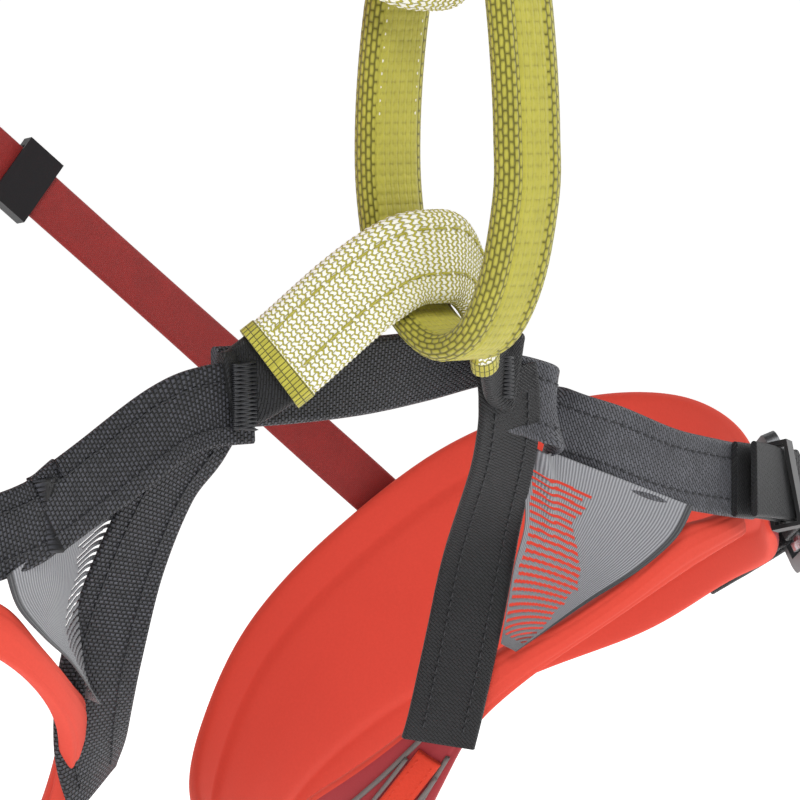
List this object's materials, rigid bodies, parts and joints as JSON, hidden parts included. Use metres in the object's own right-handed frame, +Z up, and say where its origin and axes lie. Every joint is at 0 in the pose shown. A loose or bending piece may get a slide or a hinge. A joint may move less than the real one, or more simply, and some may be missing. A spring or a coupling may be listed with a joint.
{
  "type": "tree climbing saddle",
  "caption": "Sit harness with padded waist belt, two padded leg loops on split webbing, belay loop through two covered tie-in points, buckles, gear loops and elastic risers.",
  "frame": {"origin": "middle of the waist opening, at mid height of the belt", "axes": "+X to the wearer's left, +Y to the back, +Z up"},
  "size_m": [0.4436, 0.3007, 0.4085],
  "materials": {
    "burgundy_shell": "matt woven",
    "grey_mesh": "open mesh",
    "grey_webbing": "twill webbing",
    "anodised_dark": "anodised satin",
    "woven_sleeve": "two-colour weave",
    "black_thread": "bonded thread",
    "moulded_plastic": "moulded",
    "green_webbing": "ribbed webbing",
    "green_thread": "bonded thread",
    "coral_foam": "laminated foam",
    "plated_steel": "satin",
    "black_elastic": "ribbed elastic",
    "red_strap": "smooth elastic"
  },
  "bodies": {
    "waist": {"waist_pad": "burgundy_shell", "waist_mesh": "grey_mesh", "waist_band_upper": "grey_webbing", "waist_band_lower": "grey_webbing", "waist_strap_left": "grey_webbing", "waist_strap_right": "grey_webbing", "waist_buckle_frame_left": "anodised_dark", "waist_buckle_frame_right": "anodised_dark", "waist_buckle_tab_left": "grey_webbing", "waist_buckle_tab_right": "grey_webbing", "upper_bridge": "grey_webbing", "upper_tie_in_loop": "grey_webbing", "upper_protector": "woven_sleeve", "upper_bartacks": "black_thread", "gear_loop_tabs": "grey_webbing", "haul_tab": "grey_webbing", "riser_bar": "moulded_plastic"},
    "belay": {"belay_loop": "green_webbing", "belay_stitching": "green_thread"},
    "crotch": {"crotch_bridge": "grey_webbing", "lower_tie_in_loop": "grey_webbing", "lower_protector": "woven_sleeve", "lower_bartacks": "black_thread"},
    "leg_left": {"leg_pad_left": "coral_foam", "leg_top_band_left": "grey_webbing", "leg_inner_band_left": "grey_webbing", "leg_mesh_left": "grey_mesh", "leg_strap_left": "grey_webbing", "leg_buckle_frame_left": "anodised_dark", "leg_buckle_tab_left": "grey_webbing", "riser_patch_left": "grey_webbing"},
    "waist_slider_left": {"waist_buckle_slider_left": "plated_steel"},
    "leg_slider_left": {"leg_buckle_slider_left": "plated_steel"},
    "waist_keeper_body_left": {"waist_keeper_left": "black_elastic"},
    "leg_keeper_body_left": {"leg_keeper_left": "black_elastic"},
    "riser_left": {"riser_strap_left": "red_strap", "riser_hook_left": "moulded_plastic"},
    "riser_adjust_left": {"riser_adjuster_left": "moulded_plastic"},
    "gear_front_left": {"gear_loop_front_left": "moulded_plastic"},
    "gear_rear_left": {"gear_loop_rear_left": "moulded_plastic"},
    "leg_right": {"leg_pad_right": "coral_foam", "leg_top_band_right": "grey_webbing", "leg_inner_band_right": "grey_webbing", "leg_mesh_right": "grey_mesh", "leg_strap_right": "grey_webbing", "leg_buckle_frame_right": "anodised_dark", "leg_buckle_tab_right": "grey_webbing", "riser_patch_right": "grey_webbing"},
    "waist_slider_right": {"waist_buckle_slider_right": "plated_steel"},
    "leg_slider_right": {"leg_buckle_slider_right": "plated_steel"},
    "waist_keeper_body_right": {"waist_keeper_right": "black_elastic"},
    "leg_keeper_body_right": {"leg_keeper_right": "black_elastic"},
    "riser_right": {"riser_strap_right": "red_strap", "riser_hook_right": "moulded_plastic"},
    "riser_adjust_right": {"riser_adjuster_right": "moulded_plastic"},
    "gear_front_right": {"gear_loop_front_right": "moulded_plastic"},
    "gear_rear_right": {"gear_loop_rear_right": "moulded_plastic"},
    "haul": {"haul_loop": "red_strap"}
  },
  "joints": [
    {"name": "belay_swing", "type": "hinge", "parent": "waist", "child": "belay", "pos_m": [0, -0.128, -0.03], "axis": [-1, 0, 0], "range_deg": [0, 8]},
    {"name": "crotch_swing", "type": "hinge", "parent": "belay", "child": "crotch", "pos_m": [0, -0.128, -0.107], "axis": [-1, 0, 0], "range_deg": [0, 6]},
    {"name": "leg_swing_left", "type": "hinge", "parent": "crotch", "child": "leg_left", "pos_m": [0.05, -0.1, -0.145], "axis": [-1, 0, 0], "range_deg": [0, 40]},
    {"name": "leg_swing_right", "type": "hinge", "parent": "crotch", "child": "leg_right", "pos_m": [-0.05, -0.1, -0.145], "axis": [-1, 0, 0], "range_deg": [0, 40]},
    {"name": "riser_swing_left", "type": "hinge", "parent": "waist", "child": "riser_left", "pos_m": [0.016, 0.117, -0.068], "axis": [-1, 0, 0], "range_deg": [0, 8]},
    {"name": "riser_swing_right", "type": "hinge", "parent": "waist", "child": "riser_right", "pos_m": [-0.016, 0.117, -0.068], "axis": [-1, 0, 0], "range_deg": [0, 8]},
    {"name": "leg_slider_tilt_left", "type": "hinge", "parent": "leg_left", "child": "leg_slider_left", "pos_m": [0.1979, -0.06119, -0.19269], "axis": [0.1409, -0.4517, -0.881], "range_deg": [0, 30]},
    {"name": "leg_slider_tilt_right", "type": "hinge", "parent": "leg_right", "child": "leg_slider_right", "pos_m": [-0.1979, -0.06119, -0.19269], "axis": [0.1409, 0.4517, 0.881], "range_deg": [0, 30]},
    {"name": "waist_slider_tilt_left", "type": "hinge", "parent": "waist", "child": "waist_slider_left", "pos_m": [0.11761, -0.08232, 0], "axis": [0, 0, -1], "range_deg": [0, 30]},
    {"name": "waist_slider_tilt_right", "type": "hinge", "parent": "waist", "child": "waist_slider_right", "pos_m": [-0.11761, -0.08232, 0], "axis": [0, 0, 1], "range_deg": [0, 30]},
    {"name": "leg_keeper_slide_left", "type": "slide", "parent": "leg_left", "child": "leg_keeper_body_left", "axis": [0.8364, 0.5148, -0.1882], "range_m": [-0.002, 0.003]},
    {"name": "leg_keeper_slide_right", "type": "slide", "parent": "leg_right", "child": "leg_keeper_body_right", "axis": [-0.8364, 0.5148, -0.1882], "range_m": [-0.002, 0.003]},
    {"name": "waist_keeper_slide_left", "type": "slide", "parent": "waist", "child": "waist_keeper_body_left", "axis": [0.9297, 0.3682, 0], "range_m": [-0.002, 0.002]},
    {"name": "waist_keeper_slide_right", "type": "slide", "parent": "waist", "child": "waist_keeper_body_right", "axis": [-0.9297, 0.3682, 0], "range_m": [-0.002, 0.002]},
    {"name": "gear_front_swing_left", "type": "hinge", "parent": "waist", "child": "gear_front_left", "pos_m": [0.16009, -0.02929, 0.022], "axis": [-0.3217, -0.9468, 0], "range_deg": [0, 60]},
    {"name": "gear_front_swing_right", "type": "hinge", "parent": "waist", "child": "gear_front_right", "pos_m": [-0.16009, -0.02929, 0.022], "axis": [-0.3217, 0.9468, 0], "range_deg": [0, 60]},
    {"name": "gear_rear_swing_left", "type": "hinge", "parent": "waist", "child": "gear_rear_left", "pos_m": [0.12639, 0.07782, 0.022], "axis": [0.7528, -0.6583, 0], "range_deg": [0, 60]},
    {"name": "gear_rear_swing_right", "type": "hinge", "parent": "waist", "child": "gear_rear_right", "pos_m": [-0.12639, 0.07782, 0.022], "axis": [0.7528, 0.6583, 0], "range_deg": [0, 60]},
    {"name": "haul_swing", "type": "hinge", "parent": "waist", "child": "haul", "pos_m": [0, 0.127, 0.004], "axis": [1, 0, 0], "range_deg": [0, 100]},
    {"name": "riser_adjust_slide_left", "type": "slide", "parent": "riser_left", "child": "riser_adjust_left", "axis": [0.7337, -0.1923, -0.6517], "range_m": [-0.01, 0.01]},
    {"name": "riser_adjust_slide_right", "type": "slide", "parent": "riser_right", "child": "riser_adjust_right", "axis": [-0.7337, -0.1923, -0.6517], "range_m": [-0.01, 0.01]}
  ],
  "couplings": [
    {"joint": "riser_swing_left", "follows": "leg_swing_left", "ratio": 0.2},
    {"joint": "riser_swing_right", "follows": "leg_swing_right", "ratio": 0.2}
  ]
}
